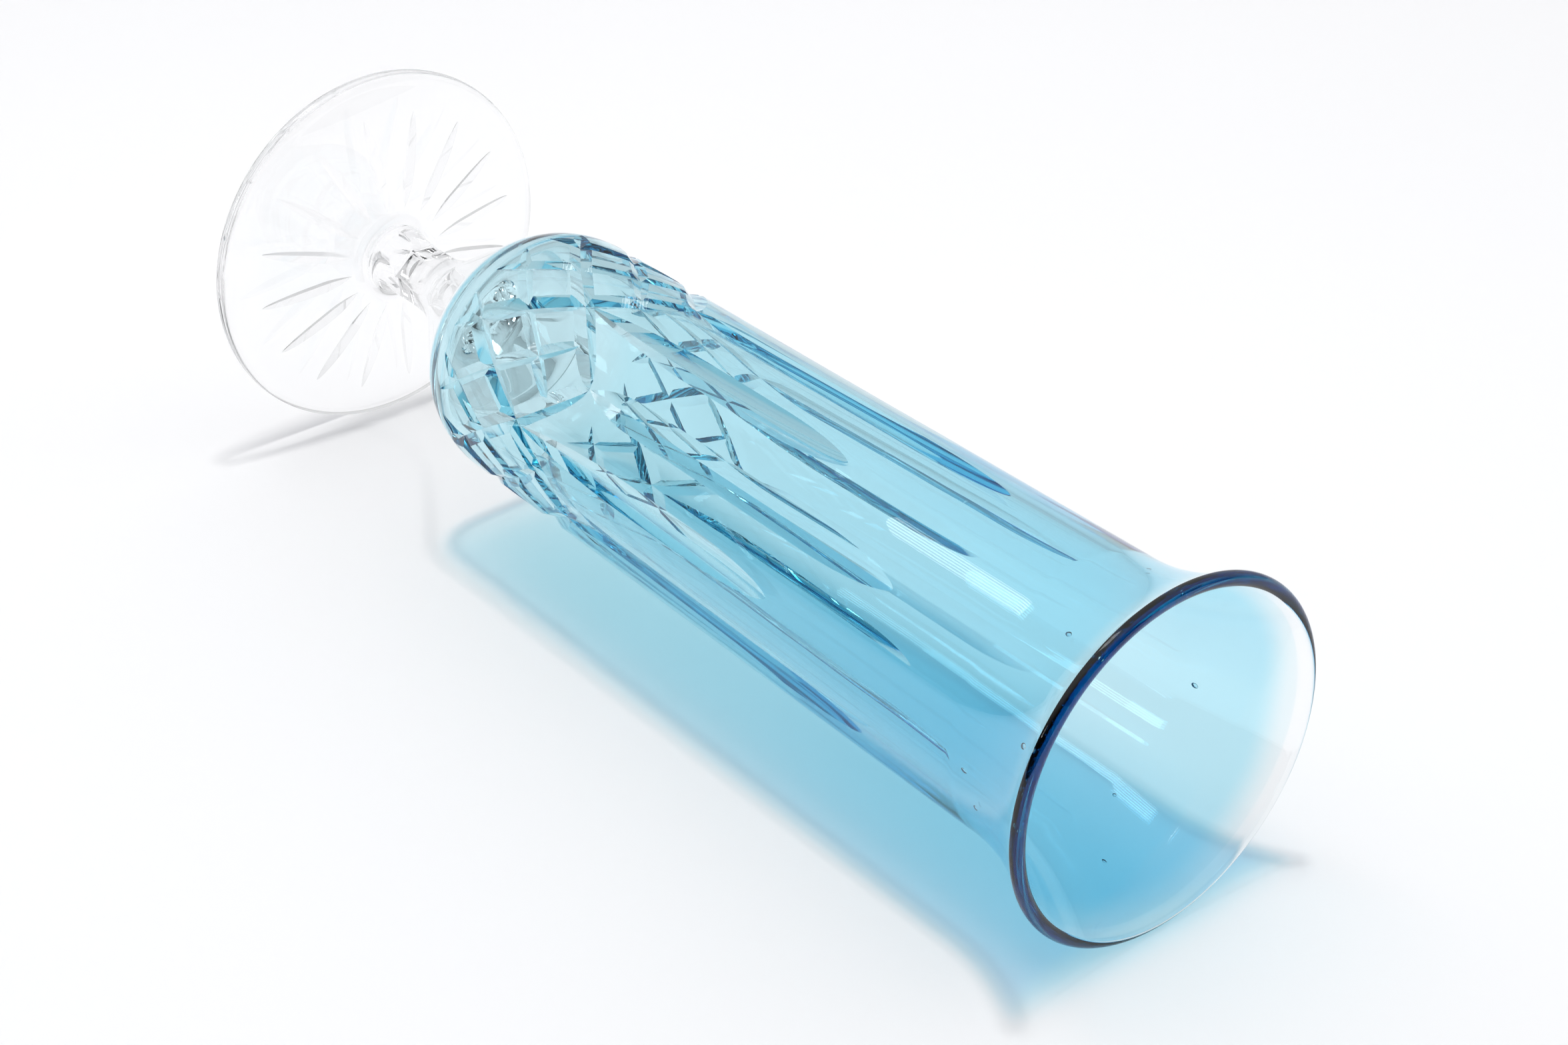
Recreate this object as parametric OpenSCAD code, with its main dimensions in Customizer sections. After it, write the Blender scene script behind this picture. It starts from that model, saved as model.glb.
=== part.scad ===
// Footed cut crystal vase: clear casing over a blue lining, faceted stem, star cut foot.
// Units are millimetres. The foot rests on z = 0 and the vase's axis is the Z axis.

/* [Overall] */
// Height from the foot's underside to the rim
height = 229; // [215:1:245]

/* [Bowl] */
// Outside radius at the bottom of the bowl's straight side
side_foot_r = 24.9; // [24:0.1:26]
// Outside radius where the flare begins
side_top_r = 26.6; // [26:0.1:28]
// Height of the bottom of the straight side
side_foot_z = 63.5; // [62:0.5:65]
// Outside radius of the rim
rim_r = 33.3; // [32:0.1:35]
// Height taken up by the flare, rim included
flare_h = 24; // [21:1:28]
// Radius of the rounded shoulder under the straight side
shoulder_r = 20; // [18:0.5:22]
// Thickness of the clear casing at the rim
casing_t = 1.65; // [1.5:0.05:1.9]
// Thickness of the blue lining at the rim
lining_t = 0.8; // [0.6:0.05:1]
// Wall of casing and lining together at the bottom of the straight side
base_wall_t = 4.2; // [4:0.1:4.6]
// Height of the underside of the lining's floor
lining_floor_z = 52; // [50:0.5:54]

/* [Cuts] */
// Number of long wedge cuts, with a short one between each two
long_cuts = 6; // [6:1:6]
// Depth of the wedge cuts
wedge_depth = 1.4; // [1.1:0.05:1.6]
// Height of the top tips of the long wedges
long_tip_z = 183; // [176:1:186]
// Height of the top tips of the short wedges
short_tip_z = 158; // [152:1:162]
// Depth of the main crossing grooves on the shoulder
main_groove_depth = 1.15; // [0.9:0.05:1.4]
// Depth of the finer crossing grooves between them
fine_groove_depth = 0.8; // [0.6:0.05:1]

/* [Stem] */
// Height of the joint between foot and stem
stem_foot_z = 12; // [11.5:0.5:13]
// Height of the joint between stem and bowl
stem_top_z = 26; // [25:0.5:27]
// Radius of the stem at its waist
waist_r = 6; // [5.6:0.1:6.4]
// Distance from the axis to the stem's flats
flat_r = 5.2; // [4.9:0.1:5.4]
// Number of flats round the stem
flats = 6; // [6:1:8]

/* [Foot] */
// Radius of the foot
foot_r = 37.5; // [35:0.5:40]
// Thickness of the foot at its rounded edge
edge_t = 3.6; // [3:0.1:4]
// Height of the foot's dome on the axis, under the stem
dome_z = 8.5; // [8:0.1:9]
// Number of cuts in the star
star_cuts = 16; // [12:1:18]
// Depth of the star's cuts
star_depth = 0.8; // [0.5:0.05:1]
// Turn of the star against the wedges, in degrees
star_turn = 4; // [0:1:11]

/* [Hidden] */
$fn = 96;

// colours
clear_colour = [0.90, 0.95, 0.97];
blue_colour = [0.30, 0.70, 0.85];

// straight side and flare
clearance = 2;
lip_bulge = 0.1;
flare_z = height - flare_h;
lip_r = (casing_t + lining_t) / 2 + lip_bulge;
lip_z = height - lip_r;
lip_x = rim_r - lip_r;
flare_mid_t = (casing_t + lining_t) / 2;
flare_rise = lip_z - flare_z;
flare_out = lip_x - (side_top_r - flare_mid_t);
flare_mid_r = (flare_rise * flare_rise + flare_out * flare_out) / (2 * flare_out);
flare_x = side_top_r - flare_mid_t + flare_mid_r;
flare_outer_r = flare_x - side_top_r;
casing_inner_r = flare_outer_r + casing_t;
lining_inner_r = casing_inner_r + lining_t;
side_tilt = atan((side_top_r - side_foot_r) / (flare_z - side_foot_z));

// shoulder, funnel and neck
funnel_a = 33;
shoulder_x = side_foot_r - shoulder_r;
funnel_top_r = shoulder_x + shoulder_r * cos(funnel_a);
funnel_top_z = side_foot_z - shoulder_r * sin(funnel_a);
neck_r = 27;
neck_z = 20;
neck_inset = 0.3;
neck_x = waist_r - neck_inset + neck_r;
neck_slack = 5.2;
funnel_run = 11.6;

// lining
lining_base_t = 0.9;
lining_foot_r = side_foot_r - base_wall_t + lining_base_t;
lining_corner_r = 10;
lining_corner_z = lining_floor_z + lining_corner_r;
lining_corner_x = lining_foot_r - lining_corner_r;

// wedges
wedge_half_a = 67;
long_foot_z = 100.5;
short_foot_z = 86;
overcut = 1;
wedge_reach = 1.1;
wedge_step_a = 180 / long_cuts;

// crossing grooves
groove_half_a = 63;
groove_reach = 1.15;
groove_pitch_a = 360 / (2 * long_cuts);
main_top_z = 100;
main_foot_z = 65.5;
fine_top_z = 92.5;
fine_foot_z = 65.5;

// stem and foot
flat_wheel_r = 20;
flat_wheel_w = 20;
waist_h = 4;
stem_swell = 0.4;
foot_fillet_r = 4;
edge_r = edge_t / 2;
edge_x = foot_r - edge_r;
dome_c = (edge_x * edge_x + edge_t * edge_t - dome_z * dome_z) / (2 * (dome_z - edge_t));
dome_r = dome_c + dome_z;
star_inner_r = 10.5;
star_outer_r = 30;
star_half_a = 55;
star_mid_r = (star_inner_r + star_outer_r) / 2;
star_half_l = (star_outer_r - star_inner_r) / 2;
star_wheel_r = 1 / (2 * star_depth / (star_half_l * star_half_l) - 1 / dome_r);

// outside radius of the bowl's straight side at height z
function side_r(z) = side_foot_r + (z - side_foot_z) * tan(side_tilt);

// half plane to the right of the axis
module right_half() {
  translate([0, -overcut])
    square([2 * foot_r, height + 2 * overcut]);
}

// outline of the bowl's outside, filled to the axis
module bowl_outside() {
  difference() {
    union() {
      polygon([
        [0, stem_top_z],
        [funnel_top_r - (funnel_top_z - stem_top_z) * tan(funnel_a) + neck_slack, stem_top_z],
        [funnel_top_r - funnel_run, funnel_top_z - funnel_run / tan(funnel_a)],
        [funnel_top_r, funnel_top_z],
        [side_foot_r, side_foot_z],
        [side_top_r, flare_z],
        [rim_r + clearance, flare_z],
        [rim_r + clearance, lip_z],
        [0, lip_z]
      ]);
      intersection() {
        translate([shoulder_x, side_foot_z])
          circle(r = shoulder_r);
        right_half();
      }
    }
    translate([flare_x, flare_z])
      circle(r = flare_outer_r);
    translate([neck_x, neck_z])
      circle(r = neck_r);
  }
}

// outline of a hollow with a straight side, a rounded corner and the flare's own curve
module hollow(foot_x, top_x, corner_r, curve_r) {
  difference() {
    union() {
      polygon([
        [0, lining_corner_z - corner_r],
        [lining_corner_x, lining_corner_z - corner_r],
        [foot_x, lining_corner_z],
        [top_x, flare_z],
        [rim_r + clearance, flare_z],
        [rim_r + clearance, height + overcut],
        [0, height + overcut]
      ]);
      intersection() {
        translate([lining_corner_x, lining_corner_z])
          circle(r = corner_r);
        right_half();
      }
    }
    translate([flare_x, flare_z])
      circle(r = curve_r);
  }
}

// hollow that the lining fills
module casing_hollow() {
  hollow(lining_foot_r, flare_x - casing_inner_r, lining_corner_r, casing_inner_r);
}

// hollow left inside the lining
module lining_hollow() {
  hollow(
    lining_foot_r - lining_base_t, flare_x - lining_inner_r,
    lining_corner_r - lining_base_t, lining_inner_r
  );
}

// rounded lip at the end of the flare
module lip() {
  translate([lip_x, lip_z])
    circle(r = lip_r);
}

// cutting wheel's outline: an edge at radius r, backed off to a depth of h
module wheel_edge(r, h, half_a) {
  polygon([[r, 0], [r - h, h * tan(half_a)], [r - h, -h * tan(half_a)]]);
}

// wedge cut between two tips, pressed in by a wheel in the plane of the XZ axes
module wedge(foot_z, tip_z) {
  half_l = (tip_z - foot_z) / 2;
  mid_z = (tip_z + foot_z) / 2;
  wheel_r = half_l * half_l / (2 * wedge_depth);
  sweep_a = 2 * asin(wedge_reach * half_l / wheel_r);
  translate([side_r(mid_z) - wedge_depth, 0, mid_z])
    rotate([0, side_tilt, 0])
      translate([wheel_r, 0, 0])
        rotate([90, 0, 180])
          rotate([0, 0, -sweep_a / 2])
            rotate_extrude(angle = sweep_a)
              wheel_edge(wheel_r, wedge_depth + overcut, wedge_half_a);
}

// ring of long wedges with short ones between them
module wedges() {
  for (i = [0 : long_cuts - 1]) {
    rotate([0, 0, 2 * i * wedge_step_a])
      wedge(long_foot_z, long_tip_z);
    rotate([0, 0, (2 * i + 1) * wedge_step_a])
      wedge(short_foot_z, short_tip_z);
  }
}

// slanting groove that climbs from foot_z to top_z over span_a degrees round the bowl
module groove(foot_z, top_z, span_a, depth, hand) {
  mid_z = (foot_z + top_z) / 2;
  mid_r = side_r(mid_z);
  half_l = span_a / 2 * PI / 180 * mid_r;
  half_z = (top_z - foot_z) / 2;
  slope_a = atan(half_z / half_l);
  reach = sqrt(half_l * half_l + half_z * half_z);
  body_curve = cos(slope_a) * cos(slope_a) / mid_r;
  ring_r = 1 / (body_curve - 2 * depth / (reach * reach));
  h = depth + overcut;
  w = h * tan(groove_half_a);
  sweep_a = 2 * asin(groove_reach * reach / ring_r);
  translate([mid_r - depth - ring_r, 0, mid_z])
    rotate([hand * slope_a, 0, 0])
      rotate([0, 0, -sweep_a / 2])
        rotate_extrude(angle = sweep_a)
          polygon([[ring_r, 0], [ring_r + h, -w], [ring_r + h, w]]);
}

// main and finer grooves of one hand: from the long wedges' feet, and halfway between
module grooves(hand) {
  for (i = [0 : long_cuts - 1]) {
    rotate([0, 0, 2 * i * wedge_step_a - hand * groove_pitch_a])
      groove(main_foot_z, main_top_z, 2 * groove_pitch_a, main_groove_depth, hand);
    rotate([0, 0, 2 * i * wedge_step_a - hand * groove_pitch_a / 4])
      groove(fine_foot_z, fine_top_z, 1.5 * groove_pitch_a, fine_groove_depth, hand);
  }
}

// clear casing of the bowl before it is cut
module casing_blank() {
  rotate_extrude() {
    difference() {
      bowl_outside();
      casing_hollow();
    }
    lip();
  }
}

// clear casing of the bowl, with the funnel under it and all the cuts
module bowl_casing() {
  color(clear_colour)
    difference() {
      difference() {
        difference() {
          casing_blank();
          wedges();
        }
        grooves(1);
      }
      grooves(-1);
    }
}

// thin blue lining fused inside the casing
module bowl_lining() {
  color(blue_colour)
    rotate_extrude()
      difference() {
        intersection() {
          casing_hollow();
          translate([0, lining_floor_z - overcut])
            square([rim_r, lip_z - lining_floor_z + overcut]);
        }
        lining_hollow();
        lip();
      }
}

// faceted stem between foot and bowl
module stem() {
  top_r = neck_x - sqrt(neck_r * neck_r - (stem_top_z - neck_z) * (stem_top_z - neck_z));
  color(clear_colour)
    difference() {
      rotate_extrude()
        polygon([
          [0, stem_foot_z],
          [waist_r + stem_swell, stem_foot_z],
          [waist_r, stem_foot_z + waist_h],
          [waist_r, stem_foot_z + 2 * waist_h],
          [top_r, stem_top_z],
          [0, stem_top_z]
        ]);
      for (i = [0 : flats - 1])
        rotate([0, 0, i * 360 / flats])
          translate([flat_r + flat_wheel_r, 0, (stem_foot_z + stem_top_z) / 2])
            rotate([90, 0, 0])
              cylinder(r = flat_wheel_r, h = flat_wheel_w, center = true);
    }
}

// wheel cut of the star, pressed into the dome at its middle
module star_cut() {
  sweep_a = 2 * asin(wedge_reach * star_half_l / star_wheel_r);
  translate([0, 0, -dome_c])
    rotate([0, asin(star_mid_r / dome_r), 0])
      translate([0, 0, dome_r - star_depth + star_wheel_r])
        rotate([90, 90 + sweep_a / 2, 0])
          rotate_extrude(angle = sweep_a)
            wheel_edge(star_wheel_r, star_depth + overcut, star_half_a);
}

// solid foot with a domed top, a rounded edge and the star
module foot() {
  color(clear_colour)
    difference() {
      rotate_extrude() {
        intersection() {
          translate([0, -dome_c])
            circle(r = dome_r);
          square([edge_x, dome_z + overcut]);
        }
        translate([edge_x, edge_r])
          circle(r = edge_r);
        difference() {
          square([waist_r + stem_swell + foot_fillet_r, stem_foot_z]);
          translate([waist_r + stem_swell + foot_fillet_r, stem_foot_z])
            circle(r = foot_fillet_r);
        }
      }
      for (i = [0 : star_cuts - 1])
        rotate([0, 0, star_turn + i * 360 / star_cuts])
          star_cut();
    }
}

bowl_casing();
bowl_lining();
stem();
foot();
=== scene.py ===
"""Cut crystal vase: clear casing, blue lining, faceted stem and star cut foot, lying on a pale table.

Metres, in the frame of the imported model: +Z is the vase's axis, the foot's underside is z = 0, and +X passes
through the middle of a long wedge cut. Lengths below are in mm of a 229 mm tall vase and are scaled by MM.
"""

import math
import random

import bmesh
import bpy
from mathutils import Matrix, Vector


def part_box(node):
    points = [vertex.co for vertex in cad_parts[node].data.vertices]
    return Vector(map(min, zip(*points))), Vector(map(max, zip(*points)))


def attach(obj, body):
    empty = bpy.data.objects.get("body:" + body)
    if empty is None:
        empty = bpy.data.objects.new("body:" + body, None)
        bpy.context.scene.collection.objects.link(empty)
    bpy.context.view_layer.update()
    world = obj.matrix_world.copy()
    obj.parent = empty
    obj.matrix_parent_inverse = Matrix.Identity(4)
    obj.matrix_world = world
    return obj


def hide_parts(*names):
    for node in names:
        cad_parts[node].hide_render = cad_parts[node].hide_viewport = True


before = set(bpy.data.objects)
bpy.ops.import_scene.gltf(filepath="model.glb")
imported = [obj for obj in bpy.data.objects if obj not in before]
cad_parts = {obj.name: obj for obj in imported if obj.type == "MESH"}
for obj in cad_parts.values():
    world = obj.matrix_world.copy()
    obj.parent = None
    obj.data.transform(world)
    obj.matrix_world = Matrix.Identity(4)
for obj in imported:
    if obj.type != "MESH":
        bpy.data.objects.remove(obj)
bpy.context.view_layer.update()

# ---------------------------------------------------------------- driving dimensions
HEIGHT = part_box("bowl_casing")[1][2]
DRAWN_HEIGHT = 229.0
MM = HEIGHT / DRAWN_HEIGHT
RIM_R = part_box("bowl_casing")[1][0] / MM
FOOT_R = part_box("foot")[1][0] / MM
STEM_FOOT_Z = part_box("stem")[0][2] / MM
STEM_TOP_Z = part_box("stem")[1][2] / MM
LINING_FLOOR_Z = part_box("bowl_lining")[0][2] / MM
RIM_Z = HEIGHT / MM

# bowl
SIDE_FOOT_R, SIDE_FOOT_Z = 24.9, 63.5
SIDE_TOP_R, FLARE_Z = 26.6, RIM_Z - 24.0
SHOULDER_R = 20.0
FUNNEL_A = math.radians(33)
CASING_T, LINING_T = 1.65, 0.8
LINING_SIDE_T, BASE_WALL_T = 0.9, 4.2
CORNER_R = 10.0
NECK_R, NECK_Z, NECK_WAIST_R = 27.0, 20.0, 5.7
SEAT = 0.03  # how deep the lining's faces sit inside the glass, so that no two faces coincide

# lip: how much it is thicker than half the wall, and the angles in degrees at which its round starts and ends
LIP_BULGE, LIP_START, LIP_END = 0.1, 14, 166
LIP_GAP, HOLLOW_DROP = 0.8, 1.6  # degrees of the flare left to the lip, outside and inside
LINING_DROP = 2.0  # the same for the end of the blue layer

# wedges: number, depth, half angle of the V, feet, tips and run-outs
WEDGES = 6
WEDGE_D, WEDGE_A = 1.4, math.radians(67.5)
LONG_FOOT_Z, LONG_TIP_Z, LONG_FOOT_RUN = 100.5, 183.5, 13.0
SHORT_FOOT_Z, SHORT_TIP_Z, SHORT_FOOT_RUN = 85.5, 158.5, 34.0
TIP_RUN, TIP_BLUNT = 21.0, 0.62

# crossing grooves on the shoulder
GROOVE_A = math.radians(63)
MAIN_D, FINE_D = 1.15, 0.8
ROW_Z = [100.5, 92.5, 84.0, 74.0, 65.3, 60.5]  # heights at which they cross, a quarter step apart
ROW_TURN = [0, 15, 30, 45, 60, 69]
GROOVE_FOOT_RUN, GROOVE_TIP_RUN = 8.0, 9.0

# how far a cutter stands out of the glass, and how far short of it the cut's two ends stop
PROUD, CUT_LIFT, STAR_LIFT = 1.2, 0.02, 0.01

# stem: its flats, and the wheel that grinds them
STEM_SWELL, STEM_WAIST = 0.7, 1.6
FLATS, FLAT_R = 6, 5.2
FLAT_WHEEL_R, FLAT_WHEEL_W, FLAT_HALF_LENGTH, FLAT_RISE, FLAT_OUT = 17.0, 6.0, 7.4, 0.5, 5

# foot
EDGE_T, DOME_Z, FILLET_R = 3.6, 8.5, 4.0
DOME_END_GAP, DOME_START_GAP, FILLET_START = 0.1, 0.15, 262
STAR_CUTS, STAR_D, STAR_TURN = 16, 0.9, 4.0
STAR_IN_R, STAR_OUT_R = 10.5, 30.0
STAR_IN_RUN, STAR_OUT_RUN = 7, 11
STAR_A = math.radians(55)

# bubbles under the rim: number, radii, heights, how much longer than wide, and the seed of their places
BUBBLES, BUBBLE_R, BUBBLE_Z = 8, (0.3, 0.55), (RIM_Z - 22.0, RIM_Z - 5.0)
BUBBLE_STRETCH, BUBBLE_SEED = (1.2, 2.2), 7

# fineness of the meshes: sides of a turned solid, profile steps and stations along each cut
SEGMENTS = 288
RING_STEP, CURVE_STEP, BASE_STEP, FLOOR_STEP = 1.0, 0.7, 3.0, 2.0
EDGE_STEP, FILLET_STEP, LIP_STEP = 0.35, 0.4, 0.2
STEM_RINGS, WEDGE_STATIONS, STAR_STATIONS, FLAT_STATIONS = 14, 60, 28, 40
GROOVE_STEPS, GROOVE_ROUNDS, SLOPE_STEP = 8, 6, 0.5
SAME_POINT, ON_AXIS = 1e-4, 1e-6
BODY_SHARP, LINING_SHARP = 11, 40  # degrees between faces above which an edge stays sharp


# ---------------------------------------------------------------- profiles
def arc(cx, cz, r, a0, a1, step=RING_STEP):
    """Points on an arc in the (radius, height) plane, angles in degrees."""
    n = max(2, math.ceil(abs(math.radians(a1 - a0)) * r / step))
    angles = [math.radians(a0 + (a1 - a0) * i / n) for i in range(n + 1)]
    return [(cx + r * math.cos(a), cz + r * math.sin(a)) for a in angles]


def line(a, b, step=RING_STEP):
    """Points on a straight line from a to b."""
    n = max(1, math.ceil(math.dist(a, b) / step))
    return [(a[0] + (b[0] - a[0]) * i / n, a[1] + (b[1] - a[1]) * i / n) for i in range(n + 1)]


def joined(*runs):
    """One list of points from several runs, without doubled points."""
    out = []
    for run in runs:
        for p in run:
            if not out or math.dist(out[-1], p) > SAME_POINT:
                out.append(p)
    return out


def flare():
    """Centre and radii of the flare's arcs, and the lip's circle."""
    mid_t = (CASING_T + LINING_T) / 2
    lip_r = mid_t + LIP_BULGE
    lip = (RIM_R - lip_r, RIM_Z - lip_r)
    rise = lip[1] - FLARE_Z
    out = lip[0] - (SIDE_TOP_R - mid_t)
    mid_r = (rise * rise + out * out) / (2 * out)
    cx = SIDE_TOP_R - mid_t + mid_r
    outer_r = cx - SIDE_TOP_R
    return {
        "cx": cx,
        "outer": outer_r,
        "inner": outer_r + CASING_T + LINING_T,
        "lip": lip,
        "lip_r": lip_r,
        "lip_a": math.degrees(math.atan2(rise, cx - lip[0])),
    }


def dome():
    """Radius and centre depth of the foot's domed top."""
    x = FOOT_R - EDGE_T / 2
    c = (x * x + EDGE_T * EDGE_T - DOME_Z * DOME_Z) / (2 * (DOME_Z - EDGE_T))
    return c + DOME_Z, c


def dome_z(r):
    """Height of the foot's domed top at radius r."""
    dome_r, c = dome()
    return math.sqrt(dome_r * dome_r - r * r) - c


def side_r(z):
    """Outside radius of the bowl at height z, down over the shoulder."""
    if z >= SIDE_FOOT_Z:
        return SIDE_FOOT_R + (SIDE_TOP_R - SIDE_FOOT_R) * (z - SIDE_FOOT_Z) / (FLARE_Z - SIDE_FOOT_Z)
    drop = SIDE_FOOT_Z - z
    return SIDE_FOOT_R - SHOULDER_R + math.sqrt(max(SHOULDER_R**2 - drop * drop, 0))


def stem_profile():
    """The stem's waist, from the foot's fillet to the neck, through a smooth curve."""
    foot_r = NECK_WAIST_R + STEM_SWELL
    neck_x = NECK_WAIST_R + NECK_R
    top_r = neck_x - math.sqrt(NECK_R**2 - (STEM_TOP_Z - NECK_Z) ** 2)
    pts = []
    for i in range(STEM_RINGS + 1):
        t = i / STEM_RINGS
        z = STEM_FOOT_Z + (STEM_TOP_Z - STEM_FOOT_Z) * t
        r = foot_r + (top_r - foot_r) * t - STEM_WAIST * t * (1 - t)
        pts.append((r, z))
    return pts


def foot_profile():
    """From the axis under the foot, round its edge and over its dome to the stem."""
    edge = (FOOT_R - EDGE_T / 2, EDGE_T / 2)
    fillet_x = NECK_WAIST_R + STEM_SWELL + FILLET_R
    dome_r, dome_c = dome()
    a_edge = math.degrees(math.acos(edge[0] / dome_r))
    a_in = math.degrees(math.acos((fillet_x + DOME_END_GAP) / dome_r))
    return joined(
        line((0, 0), (edge[0], 0), BASE_STEP),
        arc(*edge, EDGE_T / 2, -90, a_edge, EDGE_STEP),
        arc(0, -dome_c, dome_r, a_edge + DOME_START_GAP, a_in, CURVE_STEP),
        arc(fillet_x, STEM_FOOT_Z, FILLET_R, FILLET_START, 180, FILLET_STEP),
    )


def bowl_profile():
    """From the stem, over the neck, funnel, shoulder and side, to the lip's inner end."""
    f = flare()
    neck_x = NECK_WAIST_R + NECK_R
    neck_rise = STEM_TOP_Z - NECK_Z
    a_neck = math.degrees(math.atan2(neck_rise, -math.sqrt(NECK_R**2 - neck_rise**2)))
    a_funnel = 180 - math.degrees(FUNNEL_A)
    turn = math.radians(a_funnel)
    funnel_foot = (neck_x + NECK_R * math.cos(turn), NECK_Z + NECK_R * math.sin(turn))
    shoulder_x = SIDE_FOOT_R - SHOULDER_R
    funnel_top = (shoulder_x + SHOULDER_R * math.cos(FUNNEL_A), SIDE_FOOT_Z - SHOULDER_R * math.sin(FUNNEL_A))
    return joined(
        arc(neck_x, NECK_Z, NECK_R, a_neck, a_funnel, CURVE_STEP),
        line(funnel_foot, funnel_top),
        arc(shoulder_x, SIDE_FOOT_Z, SHOULDER_R, -math.degrees(FUNNEL_A), 0, CURVE_STEP),
        line((SIDE_FOOT_R, SIDE_FOOT_Z), (SIDE_TOP_R, FLARE_Z)),
        arc(f["cx"], FLARE_Z, f["outer"], 180, 180 - f["lip_a"] + LIP_GAP, CURVE_STEP),
        arc(*f["lip"], f["lip_r"], LIP_START - f["lip_a"], LIP_END - f["lip_a"], LIP_STEP),
    )


def inside_profile(inset, lip_drop):
    """From the top of the flare, down the hollow to the axis, at a depth of inset under the wall's face."""
    f = flare()
    r = f["inner"] - inset
    a_top = f["lip_a"] - lip_drop
    corner_r = CORNER_R - LINING_SIDE_T + inset
    foot_r = SIDE_FOOT_R - BASE_WALL_T + inset
    corner_z = LINING_FLOOR_Z + CORNER_R
    return joined(
        arc(f["cx"], FLARE_Z, r, 180 - a_top, 180, CURVE_STEP),
        line((f["cx"] - r, FLARE_Z), (foot_r, corner_z)),
        arc(foot_r - corner_r, corner_z, corner_r, 0, -90, CURVE_STEP),
        line((foot_r - corner_r, corner_z - corner_r), (0, corner_z - corner_r), FLOOR_STEP),
    )


# ---------------------------------------------------------------- mesh making
def new_object(name, verts, faces):
    """A mesh object from corners in mm."""
    mesh = bpy.data.meshes.new(name)
    mesh.from_pydata([(x * MM, y * MM, z * MM) for x, y, z in verts], [], faces)
    mesh.update()
    obj = bpy.data.objects.new(name, mesh)
    bpy.context.scene.collection.objects.link(obj)
    return obj


def revolve(name, profile, segments=SEGMENTS):
    """A closed solid of revolution. The profile starts and ends on the axis, or closes on itself."""
    on_axis = profile[0][0] < ON_AXIS and profile[-1][0] < ON_AXIS
    rings = profile[1:-1] if on_axis else profile
    angles = [2 * math.pi * j / segments for j in range(segments)]
    turns = [(math.cos(a), math.sin(a)) for a in angles]
    verts = [(r * c, r * s, z) for r, z in rings for c, s in turns]
    faces = []
    last = len(rings) - 1 if on_axis else len(rings)
    for i in range(last):
        a, b = i * segments, (i + 1) % len(rings) * segments
        for j in range(segments):
            k = (j + 1) % segments
            faces.append((a + j, a + k, b + k, b + j))
    if on_axis:
        first, end = len(verts), len(verts) + 1
        verts += [(0, 0, profile[0][1]), (0, 0, profile[-1][1])]
        top = last * segments
        for j in range(segments):
            k = (j + 1) % segments
            faces.append((first, k, j))
            faces.append((end, top + j, top + k))
    return facing_out(new_object(name, verts, faces))


def facing_out(obj):
    """Turns the faces of a closed mesh outwards."""
    bm = bmesh.new()
    bm.from_mesh(obj.data)
    if bm.calc_volume(signed=True) < 0:
        bmesh.ops.reverse_faces(bm, faces=bm.faces)
        bm.to_mesh(obj.data)
    bm.free()
    return obj


def vee(stations):
    """A closed cutter with a V section. Each station is (keel, one edge, other edge), as points."""
    verts = [p for s in stations for p in s]
    faces = [(0, 2, 1)]
    for i in range(len(stations) - 1):
        a, b = 3 * i, 3 * (i + 1)
        faces += [(a, a + 1, b + 1, b), (a + 1, a + 2, b + 2, b + 1), (a + 2, a, b, b + 2)]
    e = 3 * (len(stations) - 1)
    faces.append((e, e + 1, e + 2))
    return verts, faces


def cutter_object(name, solids):
    """One object from several closed cutters that don't meet."""
    verts, faces = [], []
    for v, f in solids:
        faces += [tuple(i + len(verts) for i in face) for face in f]
        verts += v
    obj = new_object(name, verts, faces)
    bm = bmesh.new()
    bm.from_mesh(obj.data)
    bmesh.ops.recalc_face_normals(bm, faces=bm.faces)
    bm.to_mesh(obj.data)
    bm.free()
    return obj


def station(point, out, along, depth, half_a):
    """A V section across a path: point on the surface, outward and forward directions."""
    across = out.cross(along).normalized()
    keel = point - out * depth
    reach = depth + PROUD
    w = reach * math.tan(half_a)
    rim = keel + out * reach
    return tuple(keel), tuple(rim + across * w), tuple(rim - across * w)


def run_out(s, length, foot_run, tip_run):
    """Share of full depth at distance s along a cut, as a wheel leaves it at each end."""
    share = 1.0
    if s < foot_run:
        share = 1 - (1 - s / foot_run) ** 2
    if s > length - tip_run:
        share = min(share, (1 - (1 - (length - s) / tip_run) ** 2) ** TIP_BLUNT)
    return share


def eased(length, n):
    """Distances along a cut of that length, closer together towards its two ends."""
    return [length * (0.5 - 0.5 * math.cos(math.pi * i / n)) for i in range(n + 1)]


def around(turn, r, z):
    """The point at that turn about the axis in degrees, radius and height."""
    a = math.radians(turn)
    return Vector((r * math.cos(a), r * math.sin(a), z))


def wedge(turn, foot_z, tip_z, foot_run):
    """The cutter of one long V that runs up the side."""
    stations = []
    length = tip_z - foot_z
    out = around(turn, 1, 0)
    for s in eased(length, WEDGE_STATIONS):
        z = foot_z + s
        depth = WEDGE_D * run_out(s, length, foot_run, TIP_RUN) - CUT_LIFT
        stations.append(station(around(turn, side_r(z), z), out, Vector((0, 0, 1)), depth, WEDGE_A))
    return vee(stations)


def groove_route(first_row):
    """The turn and height of points down a groove, through the rows at which grooves cross."""
    rows = list(zip(ROW_TURN[first_row:], ROW_Z[first_row:]))
    t0 = rows[0][0]
    pts = []
    for (ta, za), (tb, zb) in zip(rows, rows[1:]):
        for i in range(GROOVE_STEPS):
            k = i / GROOVE_STEPS
            pts.append((ta + (tb - ta) * k - t0, za + (zb - za) * k))
    pts.append((rows[-1][0] - t0, rows[-1][1]))
    return smoothed(pts, GROOVE_ROUNDS)


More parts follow.
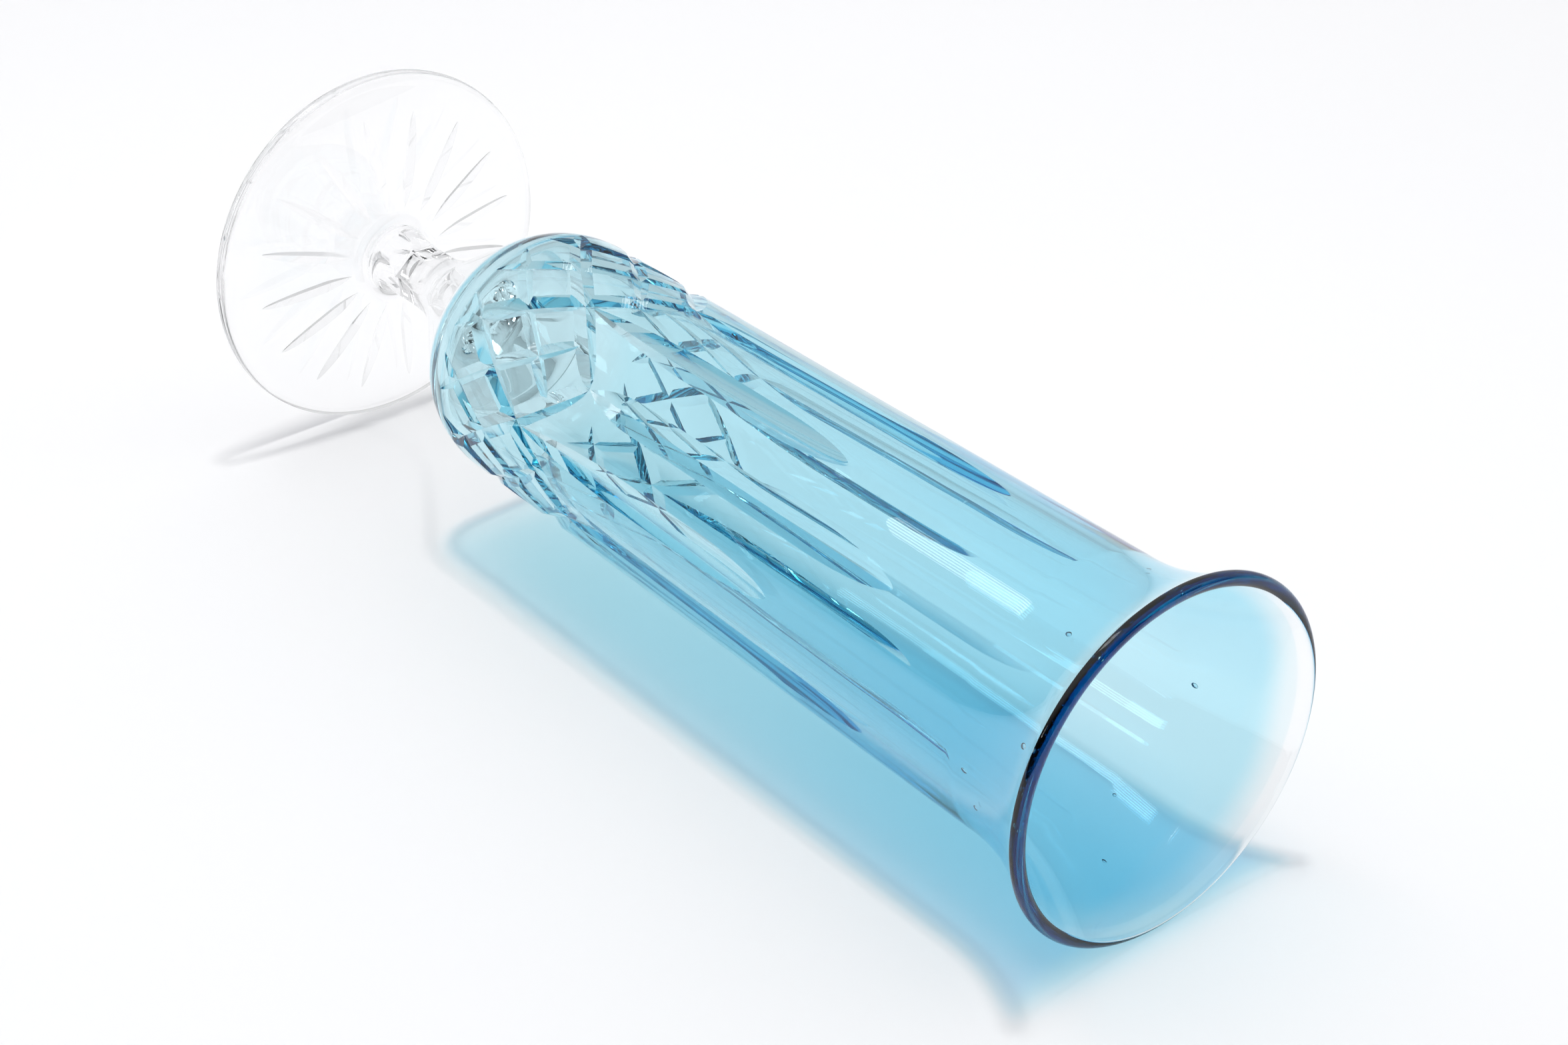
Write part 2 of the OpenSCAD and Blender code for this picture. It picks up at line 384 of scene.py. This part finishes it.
def groove(turn, hand, first_row, depth):
    """A slanting groove that starts at a crossing row and runs down over the shoulder."""
    pts = groove_route(first_row)
    path = [around(turn + hand * t, side_r(z), z) for t, z in pts]
    lengths = [0.0]
    for a, b in zip(path, path[1:]):
        lengths.append(lengths[-1] + (b - a).length)
    stations = []
    for i, p in enumerate(path):
        t, z = pts[i]
        along = (path[min(i + 1, len(path) - 1)] - path[max(i - 1, 0)]).normalized()
        slope = (side_r(z + SLOPE_STEP) - side_r(z - SLOPE_STEP)) / (2 * SLOPE_STEP)
        out = (around(turn + hand * t, 1, 0) + Vector((0, 0, -slope))).normalized()
        share = run_out(lengths[-1] - lengths[i], lengths[-1], GROOVE_FOOT_RUN, GROOVE_TIP_RUN)
        stations.append(station(p, out, along, depth * share - CUT_LIFT, GROOVE_A))
    return vee(stations)


def smoothed(pts, rounds):
    """The same points with the corners of their path rounded off."""
    for _ in range(rounds):
        trios = zip(pts, pts[1:], pts[2:])
        mid = [tuple((a + 2 * b + c) / 4 for a, b, c in zip(p, q, r)) for p, q, r in trios]
        pts = [pts[0]] + mid + [pts[-1]]
    return pts


def star_cut(turn):
    """The cutter of one ray of the foot's star."""
    stations = []
    length = STAR_OUT_R - STAR_IN_R
    c = dome()[1]
    ray = around(turn, 1, 0)
    for s in eased(length, STAR_STATIONS):
        r = STAR_IN_R + s
        p = around(turn, r, dome_z(r))
        out = (p + Vector((0, 0, c))).normalized()
        along = (ray - out * out.dot(ray)).normalized()
        depth = STAR_D * run_out(s, length, STAR_IN_RUN, STAR_OUT_RUN) - STAR_LIFT
        stations.append(station(p, out, along, depth, STAR_A))
    return vee(stations)


def flat_wheel(turn):
    """The bite of a wide wheel that hollows one flat of the stem, kept clear of the foot."""
    mid_z = (STEM_FOOT_Z + STEM_TOP_Z) / 2 + FLAT_RISE
    out, up, across = around(turn, 1, 0), Vector((0, 0, 1)), around(turn + 90, 1, 0)
    centre = around(turn, FLAT_R + FLAT_WHEEL_R, mid_z)
    half_a, n = math.asin(FLAT_HALF_LENGTH / FLAT_WHEEL_R), FLAT_STATIONS
    angles = [half_a * (2 * i / n - 1) for i in range(n + 1)]
    rim = [centre + FLAT_WHEEL_R * (math.sin(a) * up - math.cos(a) * out) for a in angles]
    rim += [rim[-1] + out * FLAT_OUT, rim[0] + out * FLAT_OUT]
    m = len(rim)
    verts = [tuple(p + side * FLAT_WHEEL_W * across) for side in (-1, 1) for p in rim]
    faces = [tuple(range(m)), tuple(range(2 * m - 1, m - 1, -1))]
    faces += [(i, (i + 1) % m, m + (i + 1) % m, m + i) for i in range(m)]
    return verts, faces


def bite(obj, cutter):
    """Takes the cutter's volume out of obj."""
    mod = obj.modifiers.new("cut", "BOOLEAN")
    mod.operation = "DIFFERENCE"
    mod.object = cutter
    mod.solver = "MANIFOLD"
    bpy.context.view_layer.update()
    graph = bpy.context.evaluated_depsgraph_get()
    mesh = bpy.data.meshes.new_from_object(obj.evaluated_get(graph))
    obj.modifiers.clear()
    old = obj.data
    obj.data = mesh
    bpy.data.meshes.remove(old)
    bpy.data.objects.remove(cutter)


def add_bubbles(obj):
    """Small drawn out bubbles caught in the casing under the rim, as cavities in the glass."""
    rng = random.Random(BUBBLE_SEED)
    f = flare()
    bm = bmesh.new()
    bm.from_mesh(obj.data)
    for _ in range(BUBBLES):
        z = rng.uniform(*BUBBLE_Z)
        r = f["cx"] - math.sqrt(f["outer"] ** 2 - (z - FLARE_Z) ** 2) - CASING_T / 2
        turn, size = rng.uniform(0, 360), rng.uniform(*BUBBLE_R)
        spin = Matrix.Rotation(math.radians(turn), 4, "Z")
        place = Matrix.Translation(around(turn, r, z) * MM) @ spin
        swell = Matrix.Diagonal((size * MM / 2, size * MM, size * MM * rng.uniform(*BUBBLE_STRETCH), 1))
        made = bmesh.ops.create_icosphere(bm, subdivisions=2, radius=1, matrix=place @ swell)
        faces = {face for v in made["verts"] for face in v.link_faces}
        bmesh.ops.reverse_faces(bm, faces=list(faces))
    bm.to_mesh(obj.data)
    bm.free()


def crisp(obj, degrees):
    """Smooth shading with sharp edges where the glass is cut."""
    obj.data.shade_smooth()
    obj.data.set_sharp_from_angle(angle=math.radians(degrees))


# ---------------------------------------------------------------- pieces
def cut_wedges(body):
    """Six long wedges with six short ones between them."""
    step = 180 / WEDGES
    longs = [wedge(2 * i * step, LONG_FOOT_Z, LONG_TIP_Z, LONG_FOOT_RUN) for i in range(WEDGES)]
    shorts = [wedge((2 * i + 1) * step, SHORT_FOOT_Z, SHORT_TIP_Z, SHORT_FOOT_RUN) for i in range(WEDGES)]
    bite(body, cutter_object("wedge_cuts", longs + shorts))


def cut_grooves(body):
    """The band of crossing grooves, deep ones and fine ones of each hand."""
    step = 180 / WEDGES
    for hand in (-1, 1):
        mains = [groove(2 * i * step, hand, 0, MAIN_D) for i in range(WEDGES)]
        bite(body, cutter_object("main_cuts", mains))
        fines = [groove(2 * i * step - hand * step / 2, hand, 1, FINE_D) for i in range(WEDGES)]
        bite(body, cutter_object("fine_cuts", fines))


def make_body():
    """All the crystal in one closed mesh: foot, stem and the bowl's casing, with their cuts."""
    outside = joined(foot_profile(), stem_profile(), bowl_profile())
    body = revolve("crystal_body", joined(outside, inside_profile(0.0, HOLLOW_DROP)))
    cut_wedges(body)
    cut_grooves(body)
    stars = [star_cut(STAR_TURN + i * 360 / STAR_CUTS) for i in range(STAR_CUTS)]
    bite(body, cutter_object("star_cuts", stars))
    for i in range(FLATS):
        bite(body, cutter_object("flat_cut", [flat_wheel(i * 360 / FLATS)]))
    add_bubbles(body)
    crisp(body, BODY_SHARP)
    return body


def make_lining():
    """The blue layer: a thin closed shell just inside the inner face of the wall."""
    inner = inside_profile(SEAT, LINING_DROP)
    outer = inside_profile(LINING_SIDE_T, LINING_DROP)
    shell = revolve("blue_lining", joined(list(reversed(inner)), outer))
    crisp(shell, LINING_SHARP)
    return shell


# ---------------------------------------------------------------- materials
# the blue tint at shares of the height; the casing's faces carry half of it and the lining's the other half
BLUE_STOPS = [
    (0.235, (0.995, 0.995, 0.995, 1)),
    (0.28, (0.90, 0.972, 0.985, 1)),
    (0.60, (0.869, 0.962, 0.984, 1)),
    (0.98, (0.787, 0.941, 0.982, 1)),
    (0.995, (0.99, 0.99, 0.99, 1)),
]
SWIRL_SCALE, SWIRL_SHARE = 18.0, 0.02
SOAK_COLOUR, SOAK_DENSITY = (0.34, 0.80, 0.905, 1), 200.0
CRYSTAL_IOR = 1.53
SLANT_COLOUR, SLANT_POWER = (0.03, 0.03, 0.06, 1), 7.0
WAVE_SCALE, WAVE_STRENGTH, WAVE_DEPTH = 45.0, 0.25, 0.0002
DUST_SCALE, DUST_FROM, DUST_TO, DUST_ROUGH = 900.0, 0.68, 0.8, 0.12
TABLE_SCALE, TABLE_ROUGH = 6.0, 0.6
TABLE_DARK, TABLE_LIGHT = (0.85, 0.85, 0.86, 1), (0.87, 0.87, 0.88, 1)


def fresh_material(name):
    """A node material, with its nodes, its links and its Principled shader."""
    mat = bpy.data.materials.new(name)
    mat.use_nodes = True
    nodes = mat.node_tree.nodes
    return mat, nodes, mat.node_tree.links, nodes["Principled BSDF"]


def add_node(nodes, kind, **sockets):
    """A new shader node with the named sockets set; an underscore stands for a space."""
    node = nodes.new("ShaderNode" + kind)
    for name, value in sockets.items():
        node.inputs[name.replace("_", " ")].default_value = value
    return node


def add_colour_mix(nodes, **sockets):
    """A Mix node for colours, with the named sockets set."""
    mix = nodes.new("ShaderNodeMix")
    mix.data_type = "RGBA"
    for name, value in sockets.items():
        mix.inputs[name].default_value = value
    return mix


def mix_shaders(nodes, links, factor, first, second):
    """Puts a mix of two shaders on the material's surface."""
    mix = add_node(nodes, "MixShader")
    links.new(factor, mix.inputs["Fac"])
    links.new(first.outputs["BSDF"], mix.inputs[1])
    links.new(second.outputs["BSDF"], mix.inputs[2])
    links.new(mix.outputs["Shader"], nodes["Material Output"].inputs["Surface"])


def clear_to_lamps(nodes, links, glass, colour):
    """Lets lamp light straight through the glass, in the colour that this socket gives."""
    path = add_node(nodes, "LightPath")
    through = add_node(nodes, "BsdfTransparent")
    links.new(colour, through.inputs["Color"])
    mix_shaders(nodes, links, path.outputs["Is Shadow Ray"], glass, through)


def blue_by_height(nodes, links):
    """The tint of a face: clear up to the shoulder, blue above it, deeper to the mouth, clear at the lip."""
    where = add_node(nodes, "TexCoord")
    parts = add_node(nodes, "SeparateXYZ")
    swirl = add_node(nodes, "TexNoise", Scale=SWIRL_SCALE)
    rise = add_node(nodes, "MapRange", From_Max=HEIGHT)
    drift = nodes.new("ShaderNodeMath")
    drift.operation = "MULTIPLY_ADD"
    drift.inputs[1].default_value = SWIRL_SHARE
    tint = add_node(nodes, "ValToRGB")
    stops = tint.color_ramp.elements
    stops[0].position, stops[0].color = BLUE_STOPS[0]
    stops[1].position, stops[1].color = BLUE_STOPS[-1]
    for place, colour in BLUE_STOPS[1:-1]:
        stops.new(place).color = colour
    links.new(where.outputs["Object"], parts.inputs[0])
    links.new(where.outputs["Object"], swirl.inputs["Vector"])
    links.new(parts.outputs["Z"], rise.inputs["Value"])
    links.new(swirl.outputs["Fac"], drift.inputs[0])
    links.new(rise.outputs["Result"], drift.inputs[2])
    links.new(drift.outputs["Value"], tint.inputs["Fac"])
    return tint.outputs["Color"]


def slant_dimming(nodes, links, colour):
    """That colour, darkened where light grazes the glass, as its edges throw dark lines."""
    slant = add_node(nodes, "LayerWeight", Blend=0.5)
    steep = nodes.new("ShaderNodeMath")
    steep.operation = "POWER"
    steep.inputs[1].default_value = SLANT_POWER
    dim = add_colour_mix(nodes, B=SLANT_COLOUR)
    links.new(colour, dim.inputs["A"])
    links.new(slant.outputs["Facing"], steep.inputs[0])
    links.new(steep.outputs["Value"], dim.inputs["Factor"])
    return dim.outputs["Result"]


def add_waviness(nodes, links, glass, where):
    """The faint waviness of a hand polished surface."""
    wave = add_node(nodes, "TexNoise", Scale=WAVE_SCALE, Detail=1.0)
    ripple = add_node(nodes, "Bump", Strength=WAVE_STRENGTH, Distance=WAVE_DEPTH)
    links.new(where.outputs["Object"], wave.inputs["Vector"])
    links.new(wave.outputs["Fac"], ripple.inputs["Height"])
    links.new(ripple.outputs["Normal"], glass.inputs["Normal"])


def add_dust(nodes, links, glass, where):
    """Fine specks that are a little rough."""
    dust = add_node(nodes, "TexNoise", Scale=DUST_SCALE)
    haze = add_node(nodes, "MapRange", From_Min=DUST_FROM, From_Max=DUST_TO, To_Max=DUST_ROUGH)
    links.new(where.outputs["Object"], dust.inputs["Vector"])
    links.new(dust.outputs["Fac"], haze.inputs["Value"])
    links.new(haze.outputs["Result"], glass.inputs["Roughness"])


def crystal_material():
    """Lead crystal, clear up to the shoulder. Above it, its faces share the lining's blue."""
    mat, nodes, links, glass = fresh_material("crystal")
    tint = blue_by_height(nodes, links)
    links.new(tint, glass.inputs["Base Color"])
    glass.inputs["Transmission Weight"].default_value = 1.0
    glass.inputs["IOR"].default_value = CRYSTAL_IOR
    where = add_node(nodes, "TexCoord")
    add_waviness(nodes, links, glass, where)
    add_dust(nodes, links, glass, where)
    clear_to_lamps(nodes, links, glass, slant_dimming(nodes, links, tint))
    return mat


def lining_material():
    """Aqua blue glass. It doesn't bend light where it meets the crystal, because the two are fused."""
    mat, nodes, links, glass = fresh_material("blue_layer")
    tint = blue_by_height(nodes, links)
    links.new(tint, glass.inputs["Base Color"])
    glass.inputs["Transmission Weight"].default_value = 1.0
    glass.inputs["IOR"].default_value = 1.0
    glass.inputs["Roughness"].default_value = 0.0
    soak = add_node(nodes, "VolumeAbsorption", Color=SOAK_COLOUR, Density=SOAK_DENSITY)
    links.new(soak.outputs["Volume"], nodes["Material Output"].inputs["Volume"])
    clear_to_lamps(nodes, links, glass, tint)
    return mat


def table_material():
    """Pale matt paint with a slow drift of tone, not there when seen from behind."""
    mat, nodes, links, paint = fresh_material("table")
    where = add_node(nodes, "TexCoord")
    grain = add_node(nodes, "TexNoise", Scale=TABLE_SCALE, Detail=3.0)
    shade = add_colour_mix(nodes, A=TABLE_DARK, B=TABLE_LIGHT)
    links.new(where.outputs["Object"], grain.inputs["Vector"])
    links.new(grain.outputs["Fac"], shade.inputs["Factor"])
    links.new(shade.outputs["Result"], paint.inputs["Base Color"])
    paint.inputs["Roughness"].default_value = TABLE_ROUGH
    see_through = add_node(nodes, "BsdfTransparent")
    back = add_node(nodes, "NewGeometry")
    mix_shaders(nodes, links, back.outputs["Backfacing"], paint, see_through)
    return mat


# ---------------------------------------------------------------- stage
# table: turn of the vase's side that lies on it, half its width, and how far below the rim the lip touches it
TABLE_TURN, TABLE_HALF, RIM_TOUCH = 133.0, 2500, 1.3

# surround: power, colour, how far its bright side leans away from the camera, and its fade from dark to light
WORLD_POWER, WORLD_COLOUR = 0.73, (0.98, 0.985, 1.0, 1)
WORLD_LEAN, WORLD_DARK, WORLD_LIGHT, WORLD_FLOOR = 0.6, 0.05, 0.75, 0.04
FAR_SIDE, FAR_ALONG = 0.734, -0.679  # the level direction from the camera to the vase, in the table's axes

# key lamp: distance and size in metres, watts, and its lean to the vase's side
KEY_FAR, KEY_SIZE, KEY_POWER, KEY_LEAN = 1.5, 0.13, 12.6, 0.05

# lamp panels: distance, glow, rows of lamps, share of the height that they face, and the gaps between rows
SOFTBOX_FAR, SOFTBOX_GLOW, SOFTBOX_ROWS, SOFTBOX_AIM = 1200.0, 6.0, 9.0, 0.85
ROW_FROM, ROW_TO, ROW_GAP = 0.35, 0.75, 0.25

# camera: lens and sensor in mm, place in heights of the vase, and its axes before the vase is turned under it
LENS, SENSOR, CAMERA_TURN, CLIP_START = 72.9, 36, -2.0, 0.01
CAMERA_PLACE = (0, -1.8596, 2.1824)
VIEW_RIGHT = (-0.54839, 0.54621, 0.63318)
VIEW_DOWN = (0.83621, 0.35551, 0.41756)
VIEW_AHEAD = (0.00298, 0.75846, -0.65171)

BOUNCES = 64


def table_axes():
    """The table's up direction, its directions along and beside the vase, and a point on it.

    The lying vase touches the table with its foot and its rim.
    """
    foot = around(TABLE_TURN, FOOT_R, EDGE_T / 2)
    rim = around(TABLE_TURN, RIM_R, RIM_Z - RIM_TOUCH)
    along = (rim - foot).normalized()
    side = around(TABLE_TURN + 90, 1, 0)
    up = along.cross(side).normalized()
    if up.dot(around(TABLE_TURN, 1, 0)) > 0:
        up = -up
    return up, along, side, (foot + rim) / 2


def make_table():
    """A wide pale sheet under the lying vase."""
    up, along, side, mid = table_axes()
    half = TABLE_HALF
    corners = ((-half, -half), (half, -half), (half, half), (-half, half))
    verts = [tuple(mid + along * a + side * b) for a, b in corners]
    obj = new_object("table", verts, [(0, 1, 2, 3)])
    if obj.data.polygons[0].normal.dot(up) < 0:
        obj.data.flip_normals()
    obj.data.materials.append(table_material())


def aim(obj, target, up):
    """Turns obj so that its -Z looks at target, with its Y near up."""
    back = (obj.location - target).normalized()
    right = up.cross(back).normalized()
    turn = Matrix((right, back.cross(right), back)).transposed().to_4x4()
    obj.matrix_world = Matrix.Translation(obj.location) @ turn


def make_key():
    """A small lamp almost straight over the vase, for the shadow. Glass doesn't show it."""
    up, _, side, _ = table_axes()
    light = bpy.data.lights.new("key", "AREA")
    light.shape = "SQUARE"
    light.size = KEY_SIZE
    light.energy = KEY_POWER
    obj = bpy.data.objects.new("key", light)
    bpy.context.scene.collection.objects.link(obj)
    target = Vector((0, 0, HEIGHT / 2))
    obj.location = target + (up + side * KEY_LEAN).normalized() * KEY_FAR
    aim(obj, target, up)
    obj.visible_transmission = False
    obj.visible_glossy = False


def away_from_camera():
    """Level direction over the table, from the camera towards the far side of the vase."""
    _, along, side, _ = table_axes()
    return (FAR_SIDE * side + FAR_ALONG * along).normalized()


def make_world():
    """A bright studio overhead and behind the vase, and a dim room on the camera's side."""
    up = table_axes()[0]
    world = bpy.data.worlds.new("studio")
    bpy.context.scene.world = world
    world.use_nodes = True
    nodes, links = world.node_tree.nodes, world.node_tree.links
    where = add_node(nodes, "TexCoord")
    rise = nodes.new("ShaderNodeVectorMath")
    rise.operation = "DOT_PRODUCT"
    rise.inputs[1].default_value = up + away_from_camera() * WORLD_LEAN
    fade = add_node(nodes, "MapRange", From_Min=WORLD_DARK, From_Max=WORLD_LIGHT, To_Min=WORLD_FLOOR)
    fade.interpolation_type = "SMOOTHSTEP"
    world.cycles.sampling_method = "NONE"
    sky = nodes["Background"]
    sky.inputs["Strength"].default_value = WORLD_POWER
    tint = add_colour_mix(nodes, A=(0, 0, 0, 1), B=WORLD_COLOUR)
    links.new(where.outputs["Generated"], rise.inputs[0])
    links.new(rise.outputs["Value"], fade.inputs["Value"])
    links.new(fade.outputs["Result"], tint.inputs["Factor"])
    links.new(tint.outputs["Result"], sky.inputs["Color"])


def softbox_material():
    """Rows of narrow lamps behind a fine grid."""
    mat = bpy.data.materials.new("softbox")
    mat.use_nodes = True
    nodes, links = mat.node_tree.nodes, mat.node_tree.links
    nodes.clear()
    out = add_node(nodes, "OutputMaterial")
    glow = add_node(nodes, "Emission")
    where = add_node(nodes, "TexCoord")
    rows = add_node(nodes, "TexWave", Scale=SOFTBOX_ROWS)
    rows.bands_direction = "X"
    ramp = add_node(nodes, "MapRange", From_Min=ROW_FROM, From_Max=ROW_TO, To_Min=ROW_GAP)
    power = nodes.new("ShaderNodeMath")
    power.operation = "MULTIPLY"
    power.inputs[1].default_value = SOFTBOX_GLOW
    links.new(where.outputs["Object"], rows.inputs["Vector"])
    links.new(rows.outputs["Fac"], ramp.inputs["Value"])
    links.new(ramp.outputs["Result"], power.inputs[0])
    links.new(power.outputs["Value"], glow.inputs["Strength"])
    links.new(glow.outputs["Emission"], out.inputs["Surface"])
    return mat


def make_softbox(name, rise, run, drift, width, length):
    """A striped lamp panel, placed by its direction from the bowl: up, along the vase and to its side."""
    up, along, side, _ = table_axes()
    centre = Vector((0, 0, RIM_Z * SOFTBOX_AIM))
    direction = (rise * up + run * along + drift * side).normalized()
    w, h = width / 2, length / 2
    obj = new_object(name, [(-w, -h, 0), (w, -h, 0), (w, h, 0), (-w, h, 0)], [(0, 1, 2, 3)])
    obj.location = (centre + direction * SOFTBOX_FAR) * MM
    aim(obj, centre * MM, along)
    obj.data.materials.append(softbox_material())
    obj.visible_camera = False


def make_camera():
    """The camera looks down on the lying vase from beyond its rim."""
    data = bpy.data.cameras.new("camera")
    data.sensor_width = SENSOR
    data.lens = LENS
    data.clip_start = CLIP_START
    cam = bpy.data.objects.new("camera", data)
    bpy.context.scene.collection.objects.link(cam)
    spin = Matrix.Rotation(math.radians(90 + CAMERA_TURN), 4, "Z")
    place = Vector(CAMERA_PLACE) * HEIGHT
    turn = Matrix((VIEW_RIGHT, -Vector(VIEW_DOWN), -Vector(VIEW_AHEAD))).transposed().to_4x4()
    cam.matrix_world = spin @ Matrix.Translation(place) @ turn
    bpy.context.scene.camera = cam


def main():
    """Makes the two pieces of glass and the stage round them."""
    scene = bpy.context.scene
    scene.view_settings.view_transform = "Standard"
    body = make_body()
    body.data.materials.clear()
    body.data.materials.append(crystal_material())
    lining = make_lining()
    lining.data.materials.append(lining_material())
    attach(body, "root")
    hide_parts("bowl_casing", "stem", "foot")
    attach(lining, "root")
    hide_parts("bowl_lining")
    make_table()
    make_world()
    make_camera()
    make_key()
    make_softbox("softbox", rise=0.93, run=-0.36, drift=-0.14, width=240.0, length=800.0)
    make_softbox("side_lamp", rise=0.35, run=-0.5, drift=-0.79, width=130.0, length=170.0)
    scene.cycles.max_bounces = BOUNCES
    scene.cycles.transmission_bounces = BOUNCES
    scene.cycles.transparent_max_bounces = BOUNCES
    scene.cycles.glossy_bounces = BOUNCES


main()
